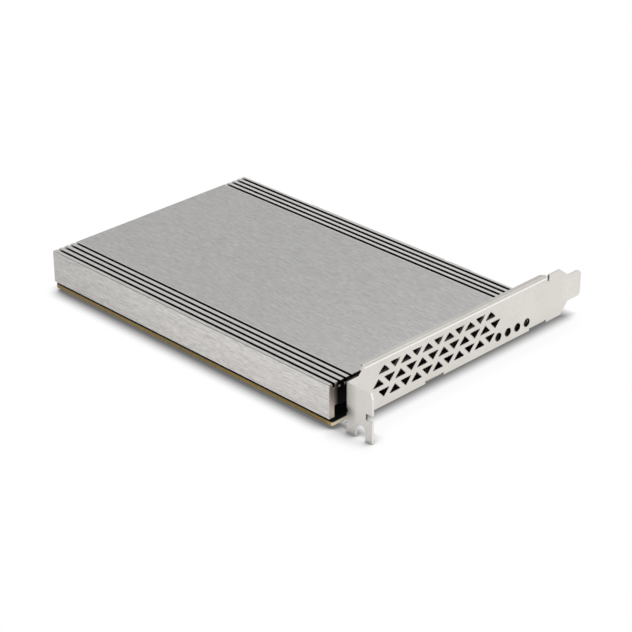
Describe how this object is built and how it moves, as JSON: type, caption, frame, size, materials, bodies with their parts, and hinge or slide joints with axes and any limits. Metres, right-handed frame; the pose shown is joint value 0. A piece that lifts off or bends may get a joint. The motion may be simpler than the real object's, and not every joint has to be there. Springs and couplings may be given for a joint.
{
  "type": "nvme adapter card",
  "caption": "Full-height expansion card for solid-state storage modules: a flat grooved cooling plate covers the circuit board, with a vented folded steel bracket across one end.",
  "frame": {"origin": "centre of the forked screw slot in the bracket's tab, in the middle of the tab's sheet", "axes": "+X out of the computer case through the bracket, along the card's length; +Y from the screw tab to the bracket's tongue and the slot edge; +Z from the board's solder side to its component side"},
  "size_m": [0.16, 0.1227, 0.0213],
  "materials": {
    "cooling_plate": "brushed along its length, clear anodised",
    "bracket": "folded sheet steel, satin nickel plated",
    "board": "glass-epoxy laminate under black solder mask, bare amber edges",
    "gold": "gold plated",
    "screws": "nickel plated",
    "post": "nickel-plated brass",
    "pad": "soft silicone sheet",
    "socket": "glass-filled, fine grain",
    "ferrite": "pressed iron powder, sealed",
    "chip": "moulded epoxy",
    "lamp_block": "moulded",
    "lamp": "clear moulded lens",
    "can": "drawn and lacquered",
    "polymer": "moulded epoxy with plated ends",
    "ceramic": "fired, with tinned ends",
    "fuse": "fired body with tinned ends"
  },
  "bodies": {
    "root": {"circuit_board": "board", "slot_contacts_component_side": "gold", "slot_contacts_solder_side": "gold", "bracket": "bracket", "bracket_screws": "screws", "heat_sink": "cooling_plate", "heat_sink_screws": "screws", "module_socket_1": "socket", "socket_contacts_1": "gold", "module_post_1": "post", "module_screw_1": "screws", "thermal_pad_1": "pad", "inductor_1": "ferrite", "converter_1": "chip", "module_socket_2": "socket", "socket_contacts_2": "gold", "module_post_2": "post", "module_screw_2": "screws", "thermal_pad_2": "pad", "inductor_2": "ferrite", "converter_2": "chip", "module_socket_3": "socket", "socket_contacts_3": "gold", "module_post_3": "post", "module_screw_3": "screws", "thermal_pad_3": "pad", "inductor_3": "ferrite", "converter_3": "chip", "module_socket_4": "socket", "socket_contacts_4": "gold", "module_post_4": "post", "module_screw_4": "screws", "thermal_pad_4": "pad", "inductor_4": "ferrite", "converter_4": "chip", "lamp_block": "lamp_block", "lamp_1": "lamp", "lamp_2": "lamp", "lamp_3": "lamp", "lamp_4": "lamp", "bulk_capacitor_base_1": "socket", "bulk_capacitor_can_1": "can", "bulk_capacitor_base_2": "socket", "bulk_capacitor_can_2": "can", "clock_buffer": "chip", "setup_memory": "chip", "input_fuse": "fuse", "polymer_capacitors": "polymer", "ceramic_capacitors": "ceramic", "underside_capacitors": "ceramic"}
  },
  "joints": []
}
